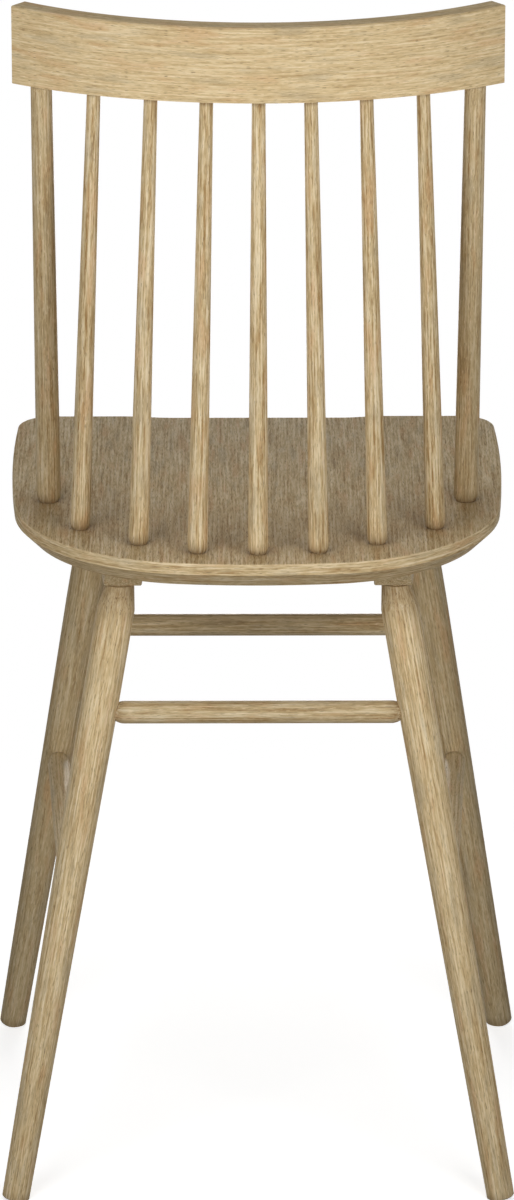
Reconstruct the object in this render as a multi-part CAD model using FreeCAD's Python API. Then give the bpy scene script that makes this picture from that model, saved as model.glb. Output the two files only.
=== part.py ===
import FreeCAD, Part
import math
import os

# Spindle-back counter stool in oak, in millimetres.
# The sitter faces -Y, so +Y is the back of the stool, +X is the sitter's left, and +Z is up.
# The pieces are laid out from the middle of the seat and moved at the end, so that the origin
# lies on the floor under the middle of the whole stool.

Vector = FreeCAD.Vector
UP = Vector(0, 0, 1)

# Seat: a D-shaped board with a bevelled underside, flat but for a shallow dip at the front edge
seat_height = 629.0
seat_thickness = 25.0
seat_depth = 422.0
seat_front_width = 447.0
seat_rear_width = 417.0
seat_side_bow = 10.3
seat_rear_bow = 36.5
seat_front_corner = 32.0
seat_rear_corner = 170.0
seat_bevel = 14.5
seat_edge_round = 2.0
seat_dip_depth = 1.6
seat_dip_floor = 155.0
seat_dip_side = 48.0
seat_dip_length = 170.0

# Crest rail: a board bent to an arc, with a slightly arched lower edge
stool_height = 1145.6
crest_height = 67.4
crest_arch = 2.7
crest_thickness = 19.6
crest_radius = 348.0
crest_chord = 432.3
crest_overhang = 72.0
crest_edge_bevel = 1.2

# Back posts and spindles: rods from the seat to the crest rail, tapered between short parallel ends,
# and turned to a ball at each end; the lift and the drop are shares of the ball's radius
post_base_radius = 11.2
post_top_radius = 9.4
post_base_x = 191.5
post_base_inset = 179.4
post_top_x = 189.7
spindle_base_radius = 9.1
spindle_top_radius = 6.0
spindle_base_x = (0.0, 54.6, 107.8, 161.4)
spindle_base_inset = (33.1, 36.8, 59.8, 101.7)
spindle_top_x = (0.0, 45.2, 93.5, 143.2)
rod_end_length = 10.0
rod_base_lift = 0.62
rod_head_drop = 0.4
post_seat_tenon_radius = 5.5
spindle_seat_tenon_radius = 5.0
rod_tenon_depth = 12.0
crest_tenon_radius = 4.5
crest_tenon_length = 14.0
crest_aim_height = 5.0

# Legs: turned, with a coned shoulder under the batten, a parallel barrel, and a taper to the foot
leg_foot_radius = 12.7
leg_barrel_radius = 17.0
leg_barrel_length = 92.0
leg_neck_radius = 12.8
leg_shoulder_length = 23.4
leg_foot_bevel = 1.0
leg_floor_flat = 1.2
leg_tenon_radius = 10.0
leg_tenon_web = 4.0
rear_foot_x = 225.0
rear_foot_y = 195.0
rear_top_x = 124.6
rear_top_y = 144.9
front_foot_x = 238.7
front_foot_y = -216.9
front_top_x = 145.3
front_top_y = -89.7

# Battens: one strip under each side of the seat, from rear leg to front leg, with sloping ends
batten_thickness = 15.6
batten_width = 34.4
batten_overhang = 24.5
batten_offset = 1.5
batten_edge_bevel = 1.0

# Stretchers: round rails whose rounded ends enter the legs
stretcher_radius = 10.4
stretcher_end_length = 8.0
stretcher_end_entry = 1.5
stretcher_tenon_radius = 8.0
stretcher_tenon_length = 15.0
rear_stretcher_height = 466.9
front_stretcher_height = 450.8
side_stretcher_height = 307.0

# Fits: the glue line round every tenon
glue_gap = 0.1

# Heights and places that follow from the sizes above
seat_bottom = seat_height - seat_thickness
batten_bottom = seat_bottom - batten_thickness
seat_rear_y = seat_depth / 2
seat_front_y = -seat_depth / 2
crest_bottom = stool_height - crest_height
crest_back_y = seat_rear_y + crest_overhang
crest_middle_radius = crest_radius - crest_thickness / 2
crest_centre_y = crest_back_y - crest_radius
crest_arch_radius = ((crest_chord / 2) ** 2 + crest_arch ** 2) / (2 * crest_arch)


def along(start, direction, distance):
    """The point at a distance from start, along a unit direction."""
    return start + direction * distance


def aligned(shape, start, direction):
    """Lay a shape that was made along +Z along a direction, from start."""
    shape.Placement = FreeCAD.Placement(start, FreeCAD.Rotation(UP, direction))
    return shape


def rod(start, direction, low, high, radius):
    """A plain round rod, from low to high along a line."""
    return Part.makeCylinder(radius, high - low, along(start, direction, low), direction)


def bowed(first, last, bow):
    """An arc from first to last that stands out to the right of the chord by bow."""
    chord = last - first
    outward = Vector(chord.y, -chord.x, 0).normalize()
    return Part.Arc(first, (first + last) / 2 + outward * bow, last).toShape()


def tangent_arc(end, start):
    """An arc in a half outline that leaves start along the axis and closes in to end."""
    rise = end.z - start.z
    fall = start.x - end.x
    radius = (rise ** 2 + fall ** 2) / (2 * fall)
    half_turn = math.asin(rise / radius) / 2
    middle = start + Vector(radius * (math.cos(half_turn) - 1), 0, radius * math.sin(half_turn))
    return Part.Arc(start, middle, end).toShape()


def line(first, last):
    return Part.LineSegment(first, last).toShape()


def rounded_outline(corners, edges, radii):
    """A closed outline in which each edge leads to its corner, rounded there by its radius."""
    plane = Part.Plane(corners[0], UP)
    sides = list(edges)
    rounds = []
    for index, radius in enumerate(radii):
        following = (index + 1) % len(sides)
        rounding = Part.ChFi2d.FilletAPI(sides[index], sides[following], plane)
        rounding.perform(radius)
        arc, sides[index], sides[following] = rounding.result(corners[index])
        rounds.append(arc)
    return Part.Wire(Part.sortEdges(sides + rounds)[0])


def turned(edges):
    """Spin a closed half outline, drawn in X and Z, about the Z axis."""
    return Part.Face(Part.Wire(edges)).revolve(Vector(0, 0, 0), UP, 360)


def below(height):
    """A block that holds everything under a height, to saw pieces off level."""
    reach = stool_height
    return Part.makeBox(2 * reach, 2 * reach, reach, Vector(-reach, -reach, height - reach))


def upright_edges(shape):
    """The edges of a board that stand straight up."""
    boxes = [(edge, edge.BoundBox) for edge in shape.Edges]
    return [edge for edge, box in boxes if box.ZLength > 1 and max(box.XLength, box.YLength) < 0.01]


def top_rim(board):
    """The edges in which the top of a board meets its upright sides."""
    def is_side(face):
        return abs(face.normalAt(*face.ParameterRange[::2]).z) < 0.01

    rim = []
    for edge in board.Edges:
        sides = [is_side(face) for face in board.ancestorsOfType(edge, Part.Face)]
        if edge.CenterOfMass.z > seat_height - seat_bevel / 2 and True in sides and False in sides:
            rim.append(edge)
    return rim


def level_edges(shape, height):
    """The edges of a board that lie at a height."""
    boxes = [(edge, edge.BoundBox) for edge in shape.Edges]
    return [edge for edge, box in boxes if abs(box.ZMin - height) < 0.01 and box.ZLength < 0.01]


def mirrored(shape):
    """The same piece on the sitter's right."""
    return shape.mirror(Vector(0, 0, 0), Vector(1, 0, 0))


def seat_dip():
    """The cutter for the dip: level in the middle, eased at both sides, running out to the rear."""
    inner = seat_dip_floor / 2
    outer = inner + seat_dip_side
    half = Vector(seat_dip_side / 2, seat_dip_depth / 2, 0)
    radius = half.Length ** 2 / seat_dip_depth
    bulge = radius - math.sqrt(radius ** 2 - half.Length ** 2 / 4)
    points = [
        Vector(-outer, 0, 0),
        Vector(-outer + half.x, -half.y, 0),
        Vector(-inner, -seat_dip_depth, 0),
        Vector(inner, -seat_dip_depth, 0),
        Vector(outer - half.x, -half.y, 0),
        Vector(outer, 0, 0),
    ]
    outline = Part.Wire([
        bowed(points[0], points[1], -bulge),
        bowed(points[1], points[2], bulge),
        line(points[2], points[3]),
        bowed(points[3], points[4], bulge),
        bowed(points[4], points[5], -bulge),
        line(points[5], Vector(outer, seat_thickness, 0)),
        line(Vector(outer, seat_thickness, 0), Vector(-outer, seat_thickness, 0)),
        line(Vector(-outer, seat_thickness, 0), points[0]),
    ])
    face = Part.Face(outline)
    face.rotate(Vector(0, 0, 0), Vector(1, 0, 0), 90)
    run = Vector(0, seat_dip_length, seat_dip_depth)
    face.translate(Vector(0, seat_front_y, seat_height) - run)
    return face.extrude(run * 2)


def seat_board():
    """The seat before its sockets: outline, rounded corners, bevel, dip and eased rim."""
    front_left = Vector(seat_front_width / 2, seat_front_y, seat_bottom)
    front_right = Vector(-seat_front_width / 2, seat_front_y, seat_bottom)
    corner_y = seat_rear_y - seat_rear_bow
    rear_left = Vector(seat_rear_width / 2, corner_y, seat_bottom)
    rear_right = Vector(-seat_rear_width / 2, corner_y, seat_bottom)
    corners = [front_left, rear_left, rear_right, front_right]
    edges = [
        line(front_right, front_left),
        bowed(front_left, rear_left, seat_side_bow),
        bowed(rear_left, rear_right, seat_rear_bow),
        bowed(rear_right, front_right, seat_side_bow),
    ]
    radii = [seat_front_corner, seat_rear_corner, seat_rear_corner, seat_front_corner]
    board = Part.Face(rounded_outline(corners, edges, radii)).extrude(UP * seat_thickness)
    board = board.makeChamfer(seat_bevel, level_edges(board, seat_bottom)).cut(seat_dip())
    return board.makeFillet(seat_edge_round, top_rim(board))


def crest_point(radius, angle, height):
    """A point on the crest's arc, at an angle from the middle of the back."""
    return Vector(radius * math.sin(angle), crest_centre_y + radius * math.cos(angle), height)


def crest_underside(x):
    """The height of the crest's arched lower edge at a distance from the middle."""
    return crest_bottom - crest_arch_radius + math.sqrt(crest_arch_radius ** 2 - x ** 2)


def crest_board():
    """The crest rail before its sockets: a bent board with eased edges."""
    inner_radius = crest_radius - crest_thickness
    end = math.asin(crest_chord / 2 / crest_radius)
    low = crest_bottom - crest_arch
    left_back = crest_point(crest_radius, end, low)
    right_back = crest_point(crest_radius, -end, low)
    left_front = crest_point(inner_radius, end, low)
    right_front = crest_point(inner_radius, -end, low)
    outline = Part.Wire([
        Part.Arc(left_back, crest_point(crest_radius, 0, low), right_back).toShape(),
        line(right_back, right_front),
        Part.Arc(right_front, crest_point(inner_radius, 0, low), left_front).toShape(),
        line(left_front, left_back),
    ])
    board = Part.Face(outline).extrude(UP * (stool_height - low))
    roller_start = Vector(0, crest_centre_y, crest_bottom - crest_arch_radius)
    board = board.cut(Part.makeCylinder(crest_arch_radius, 2 * crest_radius, roller_start, Vector(0, 1, 0)))
    return board.makeChamfer(crest_edge_bevel, upright_edges(board) + level_edges(board, stool_height))


class Rod:
    """A tapered rod of the back, with its axis, its ball ends and its tenons."""

    def __init__(self, base_x, base_inset, top_x, base_radius, top_radius, seat_tenon_radius):
        self.base_radius = base_radius
        self.top_radius = top_radius
        self.seat_tenon_radius = seat_tenon_radius
        self.base = Vector(base_x, seat_rear_y - base_inset, seat_height)
        crest_low = crest_underside(top_x)
        angle = math.asin(top_x / crest_middle_radius)
        aim = crest_point(crest_middle_radius, angle, crest_low + crest_aim_height)
        self.direction = (aim - self.base).normalize()
        self.low_ball = rod_base_lift * base_radius / self.direction.z
        self.length = (crest_low - seat_height) / self.direction.z
        self.high_ball = self.length - rod_head_drop * top_radius / self.direction.z

    def solid(self, gap=0):
        """The turned rod with its tenons, or with a gap all round it, the cutter for its sockets."""
        seat_tenon = self.seat_tenon_radius + gap
        crest_tenon = crest_tenon_radius + gap
        base = self.base_radius + gap
        top = self.top_radius + gap
        seat_tip = Vector(seat_tenon, 0, -rod_tenon_depth - gap)
        low_neck = Vector(seat_tenon, 0, self.low_ball - math.sqrt(base ** 2 - seat_tenon ** 2))
        low_side = Vector(base, 0, self.low_ball)
        taper_low = Vector(base, 0, self.low_ball + rod_end_length)
        taper_high = Vector(top, 0, self.high_ball - rod_end_length)
        high_side = Vector(top, 0, self.high_ball)
        high_neck = Vector(crest_tenon, 0, self.high_ball + math.sqrt(top ** 2 - crest_tenon ** 2))
        crest_tip = Vector(crest_tenon, 0, self.length + crest_tenon_length + gap)
        seat_centre = Vector(0, 0, seat_tip.z)
        crest_centre = Vector(0, 0, crest_tip.z)
        body = turned([
            line(seat_centre, seat_tip),
            line(seat_tip, low_neck),
            tangent_arc(low_neck, low_side),
            line(low_side, taper_low),
            line(taper_low, taper_high),
            line(taper_high, high_side),
            tangent_arc(high_neck, high_side),
            line(high_neck, crest_tip),
            line(crest_tip, crest_centre),
            line(crest_centre, seat_centre),
        ])
        return aligned(body, self.base, self.direction)


class Leg:
    """A splayed turned leg, with its axis, its tenon and its sockets."""

    def __init__(self, foot_x, foot_y, top_x, top_y):
        self.foot = Vector(foot_x, foot_y, 0)
        self.top = Vector(top_x, top_y, batten_bottom)
        self.direction = (self.top - self.foot).normalize()
        self.length = (self.top - self.foot).Length
        self.tilt = math.acos(self.direction.z)
        self.barrel_top = self.length - leg_shoulder_length
        self.barrel_low = self.barrel_top - leg_barrel_length

    def at_height(self, height):
        """The point of the leg's axis at a height above the floor."""
        return along(self.foot, self.direction, height / self.direction.z)

    def radius_at(self, height):
        """The leg's radius below its shoulder, at a height above the floor."""
        share = min(1, height / self.direction.z / self.barrel_low)
        return leg_foot_radius + (leg_barrel_radius - leg_foot_radius) * share

    def tenon(self, gap):
        """The tenon through the batten, which ends a web below the sockets of the rods above."""
        top = seat_height - rod_tenon_depth - leg_tenon_web
        return rod(self.foot, self.direction, self.length - leg_neck_radius, top / self.direction.z + gap,
                   leg_tenon_radius + gap)

    def foot_start(self):
        """Where the square-cut foot begins, so that its low rim is dressed flat by leg_floor_flat."""
        rim = (leg_foot_radius - leg_foot_bevel) * math.sin(self.tilt)
        return (rim - leg_floor_flat) / math.cos(self.tilt)

    def solid(self):
        """The turned leg, sawn to the batten above and to the floor below, with its tenon."""
        start = self.foot_start()
        foot_centre = Vector(0, 0, start)
        foot_face = Vector(leg_foot_radius - leg_foot_bevel, 0, start)
        foot_rim = Vector(leg_foot_radius, 0, start + leg_foot_bevel)
        barrel_low = Vector(leg_barrel_radius, 0, self.barrel_low)
        barrel_top = Vector(leg_barrel_radius, 0, self.barrel_top)
        neck = Vector(leg_neck_radius, 0, self.length)
        neck_top = neck + (neck - barrel_top) / 2
        neck_centre = Vector(0, 0, neck_top.z)
        body = turned([
            line(foot_centre, foot_face),
            line(foot_face, foot_rim),
            line(foot_rim, barrel_low),
            line(barrel_low, barrel_top),
            line(barrel_top, neck_top),
            line(neck_top, neck_centre),
            line(neck_centre, foot_centre),
        ])
        body = aligned(body, self.foot, self.direction)
        body = body.cut(below(0)).common(below(batten_bottom))
        return body.fuse(self.tenon(0)).removeSplitter()


class Stretcher:
    """A round rail between two legs, with rounded ends and a tenon into each leg."""

    def __init__(self, first_leg, last_leg, height):
        first = first_leg.at_height(height)
        last = last_leg.at_height(height)
        self.start = first
        self.direction = (last - first).normalize()
        self.length = (last - first).Length
        self.first_face = self.reach_of(first_leg, height)
        self.last_face = self.length - self.reach_of(last_leg, height)

    def reach_of(self, leg, height):
        """How far from the leg's axis this rail's rounded end stops, inside the leg's side."""
        angle = leg.direction.getAngle(self.direction)
        return leg.radius_at(height) / math.sin(angle) - stretcher_end_entry

    def solid(self, gap=0):
        """The rail with its ends and tenons, or with a gap all round it, the cutter for its sockets."""
        middle = (self.first_face + self.last_face) / 2
        rounded = self.last_face - stretcher_end_length
        tip = self.last_face + stretcher_tenon_length + gap
        middle_side = Vector(stretcher_radius + gap, 0, middle)
        widest = Vector(stretcher_radius + gap, 0, rounded)
        shoulder = Vector(stretcher_tenon_radius + gap, 0, self.last_face)
        tenon_end = Vector(stretcher_tenon_radius + gap, 0, tip)
        half = turned([
            line(Vector(0, 0, middle), middle_side),
            line(middle_side, widest),
            tangent_arc(shoulder, widest),
            line(shoulder, tenon_end),
            line(tenon_end, Vector(0, 0, tip)),
            line(Vector(0, 0, tip), Vector(0, 0, middle)),
        ])
        other = half.mirror(Vector(0, 0, middle), UP)
        return aligned(half.fuse(other).removeSplitter(), self.start, self.direction)


class Batten:
    """The strip under one side of the seat that both legs of that side pass through."""

    def __init__(self, rear_leg, front_leg):
        self.rear = Vector(rear_leg.top.x - batten_offset, rear_leg.top.y, seat_bottom)
        self.front = Vector(front_leg.top.x - batten_offset, front_leg.top.y, seat_bottom)
        self.step = (self.front - self.rear) / (self.rear.y - self.front.y)

    def board(self):
        """A strip from leg to leg, with ends cut square to the stool and sloped like the seat's bevel."""
        slope = self.step * batten_thickness
        rear_top = self.rear - self.step * batten_overhang
        front_top = self.front + self.step * batten_overhang
        rear_low = rear_top + slope - UP * batten_thickness
        front_low = front_top - slope - UP * batten_thickness
        side = Part.Face(Part.makePolygon([rear_top, front_top, front_low, rear_low, rear_top]))
        side.translate(Vector(-batten_width / 2, 0, 0))
        strip = side.extrude(Vector(batten_width, 0, 0))
        corners = [edge for edge in strip.Edges if edge.BoundBox.ZLength > 1]
        return strip.makeChamfer(batten_edge_bevel, corners + level_edges(strip, batten_bottom))


def both_sides(solids):
    """Solids on the sitter's left, with their mirror images on the right."""
    return solids + [mirrored(solid) for solid in solids]


def stool():
    """Every piece of the stool, by name, laid out from the middle of the seat."""
    post = Rod(post_base_x, post_base_inset, post_top_x, post_base_radius, post_top_radius,
               post_seat_tenon_radius)
    spindles = [Rod(base_x, inset, top_x, spindle_base_radius, spindle_top_radius,
                    spindle_seat_tenon_radius)
                for base_x, inset, top_x in zip(spindle_base_x, spindle_base_inset, spindle_top_x)]
    rods = [post] + spindles
    rear_leg = Leg(rear_foot_x, rear_foot_y, rear_top_x, rear_top_y)
    front_leg = Leg(front_foot_x, front_foot_y, front_top_x, front_top_y)
    rear_leg_right = Leg(-rear_foot_x, rear_foot_y, -rear_top_x, rear_top_y)
    front_leg_right = Leg(-front_foot_x, front_foot_y, -front_top_x, front_top_y)
    rear_rail = Stretcher(rear_leg, rear_leg_right, rear_stretcher_height)
    front_rail = Stretcher(front_leg, front_leg_right, front_stretcher_height)
    side_rail = Stretcher(rear_leg, front_leg, side_stretcher_height)
    batten = Batten(rear_leg, front_leg)
    leg_sockets = [leg.tenon(glue_gap) for leg in (rear_leg, front_leg)]

    pieces = {}
    rod_sockets = both_sides([each.solid(glue_gap) for each in rods])
    pieces["seat"] = seat_board().cut(rod_sockets + both_sides(leg_sockets))
    pieces["crest_rail"] = crest_board().cut(rod_sockets)

    pieces["back_post_left"] = post.solid()
    pieces["back_post_right"] = mirrored(pieces["back_post_left"])
    middle = len(spindles)
    for step, each in enumerate(spindles):
        solid = each.solid()
        pieces["spindle_%d" % (middle - step)] = solid
        if step > 0:
            pieces["spindle_%d" % (middle + step)] = mirrored(solid)

    rear_solid = rear_leg.solid().cut([rear_rail.solid(glue_gap), side_rail.solid(glue_gap)])
    front_solid = front_leg.solid().cut([front_rail.solid(glue_gap), side_rail.solid(glue_gap)])
    pieces["leg_rear_left"] = rear_solid
    pieces["leg_rear_right"] = mirrored(rear_solid)
    pieces["leg_front_left"] = front_solid
    pieces["leg_front_right"] = mirrored(front_solid)
    pieces["stretcher_rear"] = rear_rail.solid()
    pieces["stretcher_front"] = front_rail.solid()
    pieces["stretcher_left"] = side_rail.solid()
    pieces["stretcher_right"] = mirrored(pieces["stretcher_left"])

    pieces["batten_left"] = batten.board().cut(leg_sockets)
    pieces["batten_right"] = mirrored(pieces["batten_left"])
    return pieces


def main():
    pieces = stool()
    box = Part.Compound(list(pieces.values())).optimalBoundingBox(False, False)
    to_origin = Vector(0, -(box.YMin + box.YMax) / 2, 0)
    os.makedirs("parts", exist_ok=True)
    for name, shape in pieces.items():
        shape.translate(to_origin)
        shape.exportStep("parts/%s.step" % name)
        print("%-18s %9.0f mm3, valid solid: %s" % (name, shape.Volume, shape.isValid()))
    print("seat middle lies at Y %.2f; stool spans Y by %.2f" % (to_origin.y, box.YLength))


main()
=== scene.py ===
# %% [markdown]
# # A spindle-back counter stool in pale oak
#
# The stool is all wood: a flat D-shaped seat on four splayed legs, and a back of slim rods under a
# bent crest rail. Every piece already has its true shape in the packed model, so nothing is
# modelled again here. What this lesson adds is the wood itself, then a floor, a light and a camera.
# The model is loaded first.

# %% Load the stool
import bpy
import math
import numpy as np
from mathutils import Matrix, Vector


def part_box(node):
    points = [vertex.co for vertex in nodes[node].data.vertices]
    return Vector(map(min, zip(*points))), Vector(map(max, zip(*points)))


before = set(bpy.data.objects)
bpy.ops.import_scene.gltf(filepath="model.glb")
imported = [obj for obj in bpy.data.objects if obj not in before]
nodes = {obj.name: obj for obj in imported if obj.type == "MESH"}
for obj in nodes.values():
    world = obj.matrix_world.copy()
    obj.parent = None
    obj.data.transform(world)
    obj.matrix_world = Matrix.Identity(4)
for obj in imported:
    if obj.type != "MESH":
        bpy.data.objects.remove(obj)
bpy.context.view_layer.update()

# %% [markdown]
# ## Shader maths that reads like arithmetic
#
# Wood is a sum of several patterns: broad bands, fine fibres, pores. Written as nodes, that is a
# large web of Math nodes, and hard to read. So one small class wraps an output socket. Adding or
# multiplying two of them adds the Math node that does it, and the method `node` adds any other node.

# %% The socket class
class Signal:
    """An output socket of a shader node, with the arithmetic that the finishes use."""

    def __init__(self, tree, socket):
        self.tree = tree
        self.socket = socket

    def node(self, kind, settings=None, inputs=None, output=0):
        """Add a node to the same tree: its settings first, then the values or links of its sockets."""
        new = self.tree.nodes.new(kind)
        for name, value in (settings or {}).items():
            if name == "stops":
                ramp = new.color_ramp
                while len(ramp.elements) < len(value):
                    ramp.elements.new(1.0)
                for element, (place, colour) in zip(ramp.elements, value):
                    element.position = place
                    element.color = (*colour, 1.0)
            else:
                setattr(new, name, value)
        for name, value in (inputs or {}).items():
            if isinstance(value, Signal):
                self.tree.links.new(value.socket, new.inputs[name])
            else:
                new.inputs[name].default_value = value
        return Signal(self.tree, new.outputs[output] if len(new.outputs) else None)

    def math(self, operation, other=0.0, swapped=False):
        """A Math node of this socket and another value, which comes first when they are swapped."""
        pair = (other, self) if swapped else (self, other)
        return self.node("ShaderNodeMath", {"operation": operation}, dict(enumerate(pair)))

    def __add__(self, other):
        return self.math("ADD", other)

    def __radd__(self, other):
        return self.math("ADD", other, True)

    def __sub__(self, other):
        return self.math("SUBTRACT", other)

    def __rsub__(self, other):
        return self.math("SUBTRACT", other, True)

    def __mul__(self, other):
        return self.math("MULTIPLY", other)

    def __rmul__(self, other):
        return self.math("MULTIPLY", other, True)

    def __truediv__(self, other):
        return self.math("DIVIDE", other)

    def __rtruediv__(self, other):
        return self.math("DIVIDE", other, True)

    def between(self, low, high):
        """0 below low, 1 above high, and a smooth step from one to the other."""
        settings = {"interpolation_type": "SMOOTHSTEP"}
        inputs = {"Value": self, "From Min": low, "From Max": high}
        return self.node("ShaderNodeMapRange", settings, inputs)

    def part(self, axis):
        """One of the three numbers of a vector: 0 for x, 1 for y, 2 for z."""
        return self.node("ShaderNodeSeparateXYZ", None, {"Vector": self}, axis)

    def stretched(self, along, across):
        """A vector in millimetres, counted in grains of that length and width."""
        size = (1 / along, 1 / across, 1 / across)
        return self.node("ShaderNodeVectorMath", {"operation": "MULTIPLY"}, {0: self, 1: size})

    def noise(self, detail=2.0, roughness=0.5):
        """Soft noise of one unit, around 0."""
        cloud = self.node("ShaderNodeTexNoise", None,
                          {"Vector": self, "Scale": 1.0, "Detail": detail, "Roughness": roughness})
        return cloud - 0.5

    def mixed(self, kind, other, amount):
        """This colour or vector, mixed with another by an amount.

        The Mix node has separate sockets for each kind of data, so they are found by number."""
        first, second, result = {"VECTOR": (4, 5, 1), "RGBA": (6, 7, 2)}[kind]
        inputs = {0: amount, first: self, second: other}
        return self.node("ShaderNodeMix", {"data_type": kind}, inputs, result)

    def tinted(self, colour, amount):
        """This colour, mixed with a plain one by an amount."""
        return self.mixed("RGBA", (*colour, 1.0), amount)


print("a signal can be:", [name for name in vars(Signal) if not name.startswith("_")])

# %% [markdown]
# ## Which way the grain runs
#
# A joiner cuts every piece with the grain along its length, because that is the strong way. So each
# piece needs its own ruler: millimetres along the grain, and across it. A turned rod leans, so its
# length is found from its own points, as the direction in which they spread most. The angles could
# be typed in instead, but then they would be wrong as soon as the model is made in another size.

# %% Rulers for straight pieces
def length_axis(name):
    """The direction in which a piece's points spread most, and the middle of the piece."""
    points = np.array([vertex.co for vertex in nodes[name].data.vertices])
    low, high = points.min(0), points.max(0)
    spread = np.cov((points - points.mean(0)).T)
    axis = Vector(np.linalg.eigh(spread)[1][:, -1])
    return axis.normalized(), Vector((low + high) / 2)


def start_finish(name):
    """A new material for one piece, and the place on it as a vector in metres."""
    material = bpy.data.materials.new(name)
    material.use_nodes = True
    material.node_tree.nodes.clear()
    where = Signal(material.node_tree, None).node("ShaderNodeTexCoord", output="Object")
    return material, where


next_cut = Vector((0.61, 0.083, 0.127))


def along_grain(where, axis, middle, number):
    """Turn a place on the stool into millimetres along and across the grain of one piece.

    Each piece has a number, and is cut from its own stretch of timber, so no two look alike."""
    side = axis.orthogonal().normalized()
    turn = Matrix((axis, side, axis.cross(side))).transposed()
    own_cut = turn @ next_cut * number
    return where.node("ShaderNodeMapping", {"vector_type": "TEXTURE"},
                      {"Vector": where, "Location": middle + own_cut, "Rotation": turn.to_euler(),
                       "Scale": (0.001, 0.001, 0.001)})


for name in ("spindle_4", "back_post_left", "leg_rear_left", "stretcher_left"):
    print(name, "runs along", [round(x, 3) for x in length_axis(name)[0]])

# %% [markdown]
# ## Growth rings
#
# A tree adds a ring each year: open, porous wood in spring, dense wood in summer. On a board the
# rings show as bands, straight or in long arches, by how the saw met them. A picture of wood would
# show seams and would stretch on the turned pieces, so the pattern is a solid one: rings round a
# centre line that lies outside the piece, and the shape cuts through them, as a lathe does.

# %% The rings
ring_width = {"straight": 2.8, "crest": 3.6, "seat": 4.2}


def summer_wood(grain, width, heart):
    """0 in spring wood, rising to 1 in summer wood, ring after ring about the heart of the tree.

    The width of a ring and the place of the heart, across and deep, are in millimetres."""
    wander = grain.stretched(along=160, across=38).noise(detail=1.0)
    across = grain.part(1) + wander * 9 + heart[0]
    deep = grain.part(2) + wander * 7 + heart[1]
    distance = (across * across + deep * deep).math("SQRT")
    return (distance / width).math("FRACT").between(0.25, 0.95)


print("width of a ring in millimetres:", ring_width)

# %% [markdown]
# ## Pale oak
#
# Oak is straw coloured. Fibres a millimetre wide and a few centimetres long run through it, some
# pale and some honey brown. Its spring wood has pores, which show as short dark dashes, and a white
# oil has left pale flecks beside them. Here and there a patch leans to rust or to grey. The colours
# are written as a screen shows them, from 0 to 255, and turned into the linear light of a shader.

# %% The colours of oak
def linear(red, green, blue):
    """A colour as a shader wants it, from the 0 to 255 that a screen shows."""
    def one(value):
        value = value / 255
        return value / 12.92 if value <= 0.04045 else ((value + 0.055) / 1.055) ** 2.4
    return tuple(one(value) for value in (red, green, blue))


straw = linear(213, 189, 145)
honey = linear(168, 135, 88)
pale = linear(242, 224, 189)
rust = linear(203, 160, 114)
ash_grey = linear(168, 155, 129)
# This pore colour also darkens the pieces as painted shade.
pore_and_shade_dark = linear(120, 97, 69)
print("oak colours from", [round(x, 2) for x in honey], "to", [round(x, 2) for x in pale])

# %% [markdown]
# ## Laying the oak
#
# A wood picture on a turned piece would need a flat map of it. Noise in space needs none: it is
# stretched along the grain, once for each kind of mark, and a colour ramp turns the sum into oak.
# The finish is matt, so it has little shine, and the pores are tiny grooves that a bump can give.

# %% The oak
def oak(material, grain, rings, fibre=20.0, contrast=1.0, tone=1.0, dirt_and_shade=0.0, wear_and_highlight=0.0, shine=0.06):
    """Finish a material as oak of a tone, with fibres of a length in millimetres.

    Dirt and painted shade darken it, and wear and painted highlight pale it."""
    fibres = grain.stretched(along=fibre, across=1.4).noise(detail=1.0, roughness=0.55)
    threads = grain.stretched(along=fibre * 4.5, across=1.5).noise(detail=0.0)
    streaks = grain.stretched(along=fibre * 4, across=5.0).noise(detail=1.0)
    dashes = grain.stretched(along=6.0, across=0.5).noise(detail=0.0)
    patches = grain.stretched(along=48, across=9).noise(detail=1.0)
    pores = dashes.between(0.14, 0.21) * (1 - rings * 0.7)
    flecks = 1 - dashes.between(-0.24, -0.16)

    figure = 0.5 + (fibres * 0.95 + threads * 0.80 + streaks * 0.50 + rings * 0.10 - 0.05) * contrast
    shades = ((0, honey), (0.5, straw), (1, pale))
    stops = [(place, [tone * part for part in shade]) for place, shade in shades]
    colour = figure.node("ShaderNodeValToRGB", {"stops": stops}, {"Fac": figure})
    colour = colour.tinted(rust, patches.between(0.04, 0.24) * 0.42)
    colour = colour.tinted(ash_grey, (1 - patches.between(-0.24, -0.04)) * 0.34)
    # Pale flecks, wear and painted highlight lighten the colour here.
    colour = colour.tinted(pale, flecks * 0.40 + wear_and_highlight)
    # Pores, dirt and painted shade darken the colour here.
    colour = colour.tinted(pore_and_shade_dark, pores * 0.55 + dirt_and_shade)

    height = fibres * 0.5 - pores
    bump = height.node("ShaderNodeBump", None, {"Height": height, "Strength": 0.12, "Distance": 0.0006})
    roughness = 0.58 + pores * 0.15 - fibres * 0.10
    shader = colour.node("ShaderNodeBsdfPrincipled", None,
                         {"Base Color": colour, "Roughness": roughness, "Normal": bump,
                          "Specular IOR Level": shine})
    shader.node("ShaderNodeOutputMaterial", None, {"Surface": shader})


def dress(name, material):
    """Put a finish on a piece of the packed model, in place of the plain one."""
    mesh = nodes[name].data
    mesh.materials.clear()
    mesh.materials.append(material)


print("pieces to dress in oak:", sorted(nodes))
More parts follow.
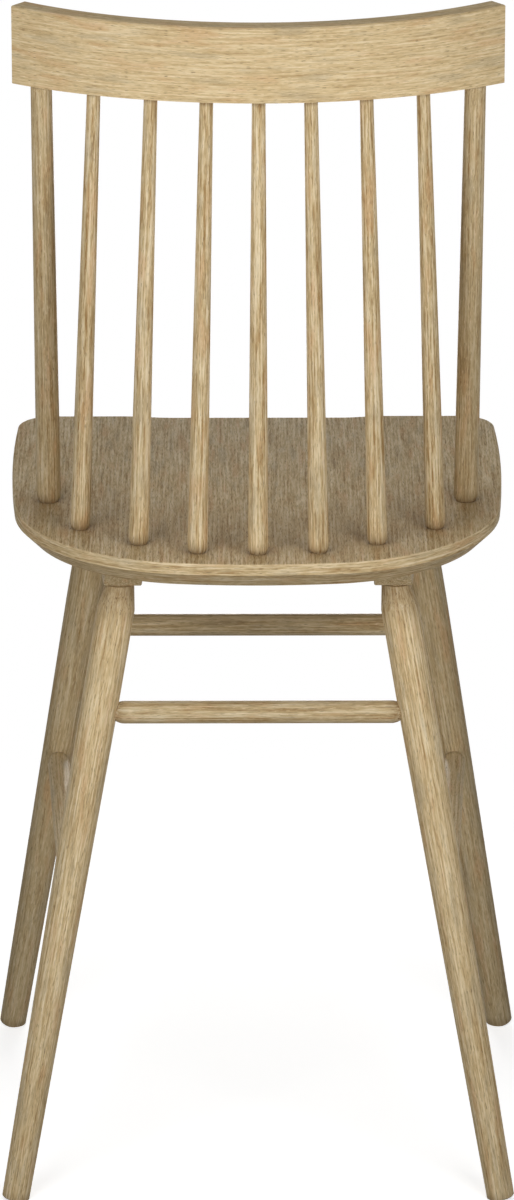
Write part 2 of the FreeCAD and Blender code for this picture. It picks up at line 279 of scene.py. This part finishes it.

# %% [markdown]
# ## The rods of the back
#
# Nine turned rods stand in the seat. A lathe leaves long unbroken fibres on them, so their streaks
# are long and strong. The narrow corner where a ball end meets the seat or the crest is painted
# darker, as painted shade. Ambient Occlusion could find that corner, but it is grainy, and the height
# above the seat gives the same dark ring. The posts and the outer rods are painted a little darker
# than those in the middle, as painted shade, since less light reaches them.

# %% Dress the rods
seat_low, seat_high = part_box("seat")
crest_low, crest_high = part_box("crest_rail")
rods = sorted(name for name in nodes if name.startswith(("back_post", "spindle")))
for number, name in enumerate(rods, start=1):
    axis, middle = length_axis(name)
    material, where = start_finish("oak_" + name)
    grain = along_grain(where, axis, middle, number)
    rings = summer_wood(grain, ring_width["straight"], heart=(30.0 + 3 * number, 24.0))
    height = where.part(2)
    # Painted shade: a dark ring where the rod meets the seat, and another under the crest.
    above_seat = height.between(seat_high.z, seat_high.z + 0.014)
    corner_shade = 1 - height.between(seat_high.z - 0.001, seat_high.z + 0.006)
    under_crest = height.between(crest_low.z - 0.004, crest_low.z)
    dirt_and_shade = (1 - above_seat * (1 - under_crest)) * 0.40 + corner_shade * 0.25
    is_post = name.startswith("back_post")
    # Painted shade: the posts and the outer rods are toned darker, since less light reaches them.
    tone = 0.82 if is_post else 0.96 - 0.45 * abs(middle.x)
    oak(material, grain, rings, fibre=20.0, contrast=1.1 if is_post else 1.50, tone=tone, dirt_and_shade=dirt_and_shade)
    dress(name, material)
print("rods dressed:", len(rods))

# %% [markdown]
# ## Legs, stretchers and battens
#
# These are straight too, so the same ruler serves. A leg is dark at its top, in the shade under the
# batten, which is painted shade, and its foot is dirty for a few millimetres. A stretcher is painted
# darker at its ends, as painted shade where it goes into the legs. On the front stretcher the sitter's
# shoes have worn the oil away along the top. No two boards have the same tone, so a table gives each
# kind of piece its own cut of timber; there the front legs are also toned darker than the rear legs,
# as painted shade, since less light reaches them.

# %% Helpers for the ends of a piece
tenon_length = 0.015


def half_length(name, axis, middle):
    """How far a piece reaches along its axis, from its middle."""
    return max(abs((vertex.co - middle).dot(axis)) for vertex in nodes[name].data.vertices)


def distance_to(where, point):
    """The distance in metres from a place on the stool to a point."""
    return where.node("ShaderNodeVectorMath", {"operation": "DISTANCE"}, {0: where, 1: point}, "Value")


for name in ("stretcher_rear", "stretcher_left"):
    print(name, "reaches", round(half_length(name, *length_axis(name)), 4), "m from its middle")

# %% Dress the legs, the stretchers and the battens
# The tones differ by piece, and the front legs are toned darker as painted shade.
timber = {
    "leg_rear": {"fibre": 16.0, "contrast": 1.05, "tone": 1.03},
    "leg_front": {"fibre": 16.0, "contrast": 0.85, "tone": 0.865},
    "stretcher_rear": {"fibre": 24.0, "contrast": 1.35, "tone": 0.86},
    "stretcher_front": {"fibre": 24.0, "contrast": 1.25, "tone": 0.88},
    "stretcher": {"fibre": 24.0, "contrast": 0.8, "tone": 1.0},
    "batten": {"fibre": 24.0, "contrast": 1.0, "tone": 0.82},
}
leg_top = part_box("batten_left")[0].z
supports = sorted(name for name in nodes if name.startswith(("leg", "stretcher", "batten")))
for number, name in enumerate(supports, start=len(rods) + 1):
    axis, middle = length_axis(name)
    material, where = start_finish("oak_" + name)
    grain = along_grain(where, axis, middle, number)
    rings = summer_wood(grain, ring_width["straight"], heart=(30.0 + 3 * number, 24.0))
    dirt_and_shade, wear_and_highlight = 0.0, 0.0
    if name.startswith("leg"):
        height = where.part(2)
        # Dirt darkens the foot, and the top of the leg, under the batten, is darkened as painted shade.
        dirty_foot = (1 - height.between(0.0, 0.012)) * 0.4
        dirt_and_shade = dirty_foot + height.between(leg_top - 0.045, leg_top) * 0.50
    if name.startswith("stretcher"):
        # Painted shade at both ends, where the stretcher goes into a leg.
        shoulder = half_length(name, axis, middle) - tenon_length
        dirt_and_shade = distance_to(where, middle).between(shoulder - 0.014, shoulder) * 0.40
    if name == "stretcher_front":
        upward = where.node("ShaderNodeNewGeometry", output="Normal").part(2)
        reach = where.part(0).math("ABSOLUTE")
        wear_and_highlight = upward.between(0.35, 0.95) * (1 - reach.between(0.05, 0.13)) * 0.35
    cut = next(timber[kind] for kind in timber if name.startswith(kind))
    oak(material, grain, rings, dirt_and_shade=dirt_and_shade, wear_and_highlight=wear_and_highlight, **cut)
    dress(name, material)
print("legs, stretchers and battens dressed:", len(supports))

# %% [markdown]
# ## The bent crest rail
#
# The crest is steamed and bent, so its grain follows the bend. Its ruler is an arc: the angle round
# the centre of the bend gives the place along the grain, and the distance from that centre gives the
# depth. A straight ruler would let the grain run out of the wood at both ends, as if the rail had
# been sawn to its curve. Three points on the back face are enough to find the centre.

# %% Dress the crest rail
points = np.array([vertex.co for vertex in nodes["crest_rail"].data.vertices])
widest = points[np.argmax(points[:, 0] + 0.2 * points[:, 1])]
bend_depth = crest_high.y - widest[1]
bend_radius = (widest[0] ** 2 + bend_depth ** 2) / (2 * bend_depth)
bend_y = crest_high.y - bend_radius
material, where = start_finish("oak_crest_rail")
x, y, z = where.part(0), where.part(1) - bend_y, where.part(2)
angle = x.math("ARCTAN2", y)
out = (x * x + y * y).math("SQRT")
grain = angle.node("ShaderNodeCombineXYZ", None,
                   {"X": angle * (1000 * bend_radius), "Y": z * 1000, "Z": out * 1000})
rings = summer_wood(grain, ring_width["crest"], heart=(-1040.0, -290.0))
oak(material, grain, rings, fibre=12.0, contrast=0.68)
dress("crest_rail", material)
print("crest bent to a radius of", round(bend_radius, 4), "about y =", round(bend_y, 4))

# %% [markdown]
# ## The grain of the seat
#
# On the flat of the seat the grain runs from front to back, as it shows between the rods. Its edge
# is lipped with a strip that follows the outline, so there the grain runs round the seat. The strip
# could be a piece of its own, but its glue line doesn't show. So one finish has both grains, and the
# way a surface faces tells them apart: the flat faces up or down, and the edge faces out.

# %% The grain of the seat
rim_radius = 215.0
middle = (seat_low + seat_high) / 2
material, where = start_finish("oak_seat")
flat = along_grain(where, Vector((0, 1, 0)), middle, 0)
x, y, z = where.part(0) - middle.x, where.part(1) - middle.y, where.part(2)
turn = x.math("ARCTAN2", y)
out = (x * x + y * y).math("SQRT")
lipping = turn.node("ShaderNodeCombineXYZ", None, {"X": turn * rim_radius, "Y": z * 1000, "Z": out * 120})
facing = where.node("ShaderNodeNewGeometry", output="Normal").part(2)
is_flat = facing.math("ABSOLUTE").math("GREATER_THAN", 0.86)
grain = lipping.mixed("VECTOR", flat, is_flat)
print("seat", [round(side * 1000) for side in seat_high - seat_low], "mm")

# %% [markdown]
# ## Painted shade, highlight and wear on the seat
#
# The seat is painted darker in the corner round each rod, as painted shade, and in a soft band in front
# of the spindles, as their painted shadow. The bevel underneath is painted darker as painted shade, and
# the rounded rim is painted paler, as a painted highlight and as wear from hands. The dark places could
# be painted by hand on the mesh, but the distance to the foot of the nearest rod finds them by itself.

# %% Dress the seat
def nearest_rod(names, forward):
    """The distance to the nearest of some rods on the seat, counted from a point in front of each."""
    nearest = 1.0
    for name in names:
        axis, rod_middle = length_axis(name)
        foot = rod_middle + axis * ((seat_high.z - rod_middle.z) / axis.z)
        nearest = distance_to(where, foot - Vector((0, forward, 0))).math("MINIMUM", nearest)
    return nearest


spindles = [name for name in rods if name.startswith("spindle")]
# Painted shade round the foot of each rod, and the painted shadow of the spindles in front of them.
corner_shade = (1 - nearest_rod(rods, forward=0.0).between(0.006, 0.022)) * 0.20
shade = (1 - nearest_rod(spindles, forward=0.045).between(0.010, 0.120)) * 0.32
# Painted shade on the bevel underneath.
underside_shade = (1 - facing.between(-0.7, -0.3)) * 0.15
dirt_and_shade = is_flat * (corner_shade + shade) + underside_shade
# Painted highlight on the rounded rim, which also stands for wear from hands.
wear_and_highlight = facing.between(0.1, 0.4) * (1 - facing.between(0.85, 0.97)) * 0.20
rings = summer_wood(grain, ring_width["seat"], heart=(120.0, 160.0))
oak(material, grain, rings, fibre=13.0, contrast=1.12, tone=0.92, dirt_and_shade=dirt_and_shade, wear_and_highlight=wear_and_highlight, shine=0.02)
dress("seat", material)
print("seat darkened round", len(rods), "rods and in front of", len(spindles), "spindles")

# %% [markdown]
# ## Floor
#
# The stool stands on a plain pale floor that takes its shadow. The floor fades out into a white
# surround, so that there is no horizon. Light Path tells the rays that show a surface, straight or
# in a reflection, apart from those that only carry light. So the floor can look white and still
# light the stool gently. Its white is part glow and part paint: the glow is the same everywhere, and
# the paint is darker where the stool keeps the light off.

# %% The floor
floor_radius = 1.2
floor_sides = 96
angles = [step * math.tau / floor_sides for step in range(floor_sides)]
edge = [(floor_radius * math.cos(angle), floor_radius * math.sin(angle), 0) for angle in angles]
floor_mesh = bpy.data.meshes.new("floor")
floor_mesh.from_pydata(edge, [], [list(range(floor_sides))])
floor = bpy.data.objects.new("floor", floor_mesh)
bpy.context.scene.collection.objects.link(floor)
print("floor", 2 * floor_radius, "m across")

# %% The finish of the floor
def shows(start):
    """1 for a ray that shows a surface: from the camera, in a reflection, or through glass."""
    kinds = ("Is Camera Ray", "Is Glossy Ray", "Is Transmission Ray")
    camera, glossy, through = [start.node("ShaderNodeLightPath", output=kind) for kind in kinds]
    return camera.math("MAXIMUM", glossy).math("MAXIMUM", through)


material, where = start_finish("floor")
x, y = where.part(0), where.part(1)
fade = (x * x + y * y).math("SQRT").between(0.4, 1.0)
dim = where.node("ShaderNodeBsdfDiffuse", None, {"Color": (0.2, 0.2, 0.2, 1)})
paint = where.node("ShaderNodeBsdfDiffuse", None, {"Color": (0.72, 0.72, 0.72, 1)})
glow = where.node("ShaderNodeEmission", None, {"Color": (1, 1, 1, 1), "Strength": 0.64})
white = paint.node("ShaderNodeAddShader", None, {0: paint, 1: glow})
lit = white.node("ShaderNodeMixShader", None, {0: shows(where), 1: dim, 2: white})
clear = where.node("ShaderNodeBsdfTransparent")
shader = lit.node("ShaderNodeMixShader", None, {0: fade, 1: lit, 2: clear})
shader.node("ShaderNodeOutputMaterial", None, {"Surface": shader})
floor_mesh.materials.append(material)
print("floor finish:", len(material.node_tree.nodes), "nodes")

# %% [markdown]
# ## Surround
#
# Round the floor there is only white, as on a sheet of studio paper. A real sheet behind the stool
# would be in the way when the stool is seen from another side. So the world itself is white to the
# rays that show it, and dim to those that only carry light, and the lamps light the stool.

# %% The surround
world = bpy.data.worlds.new("surround")
world.use_nodes = True
world.node_tree.nodes.clear()
start = Signal(world.node_tree, None)
soft = start.node("ShaderNodeBackground", None, {"Color": (1, 1, 1, 1), "Strength": 0.05})
bright = start.node("ShaderNodeBackground", None, {"Color": (1, 1, 1, 1), "Strength": 1.0})
surround = soft.node("ShaderNodeMixShader", None, {0: shows(start), 1: soft, 2: bright})
surround.node("ShaderNodeOutputWorld", None, {"Surface": surround})
bpy.context.scene.world = world
print("surround:", [node.bl_idname for node in world.node_tree.nodes])

# %% [markdown]
# ## Light
#
# In the photograph the back is bright, its outer rods are lit from outside and dark on their inner
# sides, and the front legs, half a metre further off, are only half as bright. That is the light of
# two tall sheets that stand close behind the stool, to the left and to the right. An even light from
# the world would be simpler, but it would lose that fall-off. A weak lamp overhead lights the seat.
# One in front fills the side that the photograph doesn't show, and it stands lower than the seat,
# so that it leaves the seat's top alone.

# %% The lamps
def sheet_light(name, place, lean, turn, width, height, power):
    """A large soft lamp that stands upright, leans forward by an angle, and faces along its turn."""
    lamp = bpy.data.lights.new(name, "AREA")
    lamp.shape = "RECTANGLE"
    lamp.size = width
    lamp.size_y = height
    lamp.energy = power
    holder = bpy.data.objects.new(name, lamp)
    holder.location = place
    holder.rotation_euler = (math.pi / 2 - lean, 0, turn)
    holder.visible_camera = False
    bpy.context.scene.collection.objects.link(holder)


key_bearing = math.radians(33)
for side, bearing in (("left", key_bearing), ("right", -key_bearing)):
    place = (math.sin(bearing), 0.05 + math.cos(bearing), 0.8)
    sheet_light("key_" + side, place, lean=0.3, turn=math.pi - bearing, width=0.5, height=1.4, power=6.3)
sheet_light("overhead", (0, 0, 2.4), lean=math.pi / 2, turn=0.0, width=1.6, height=1.6, power=5.9)
sheet_light("fill", (0, -2.2, 0.45), lean=0.0, turn=0.0, width=0.9, height=0.9, power=42.0)

# %% [markdown]
# ## Camera
#
# The stool is seen from behind and from a little above, through a long lens, so its upright lines
# hardly converge. The place and the lens were worked out from the outlines in the photograph. Two
# angles aim the camera, because a point to look at would tie its aim to its place.

# %% The camera
lens = bpy.data.cameras.new("camera")
lens.sensor_fit = "VERTICAL"
lens.sensor_height = 36.0
lens.lens = 215.1
camera = bpy.data.objects.new("camera", lens)
camera.location = (0.0317, 6.2299, 2.7886)
pitch, yaw = 0.34797, 0.00505
ahead = Vector((-math.sin(yaw) * math.cos(pitch), -math.cos(yaw) * math.cos(pitch), -math.sin(pitch)))
camera.rotation_euler = ahead.to_track_quat("-Z", "Y").to_euler()
bpy.context.scene.collection.objects.link(camera)
bpy.context.scene.camera = camera
bpy.context.scene.view_settings.view_transform = "Standard"
print("camera", [round(x, 3) for x in camera.location], "lens", lens.lens)

# %% [markdown]
# ## Sizes
#
# Finishes don't change sizes, so the box before and after is the same.
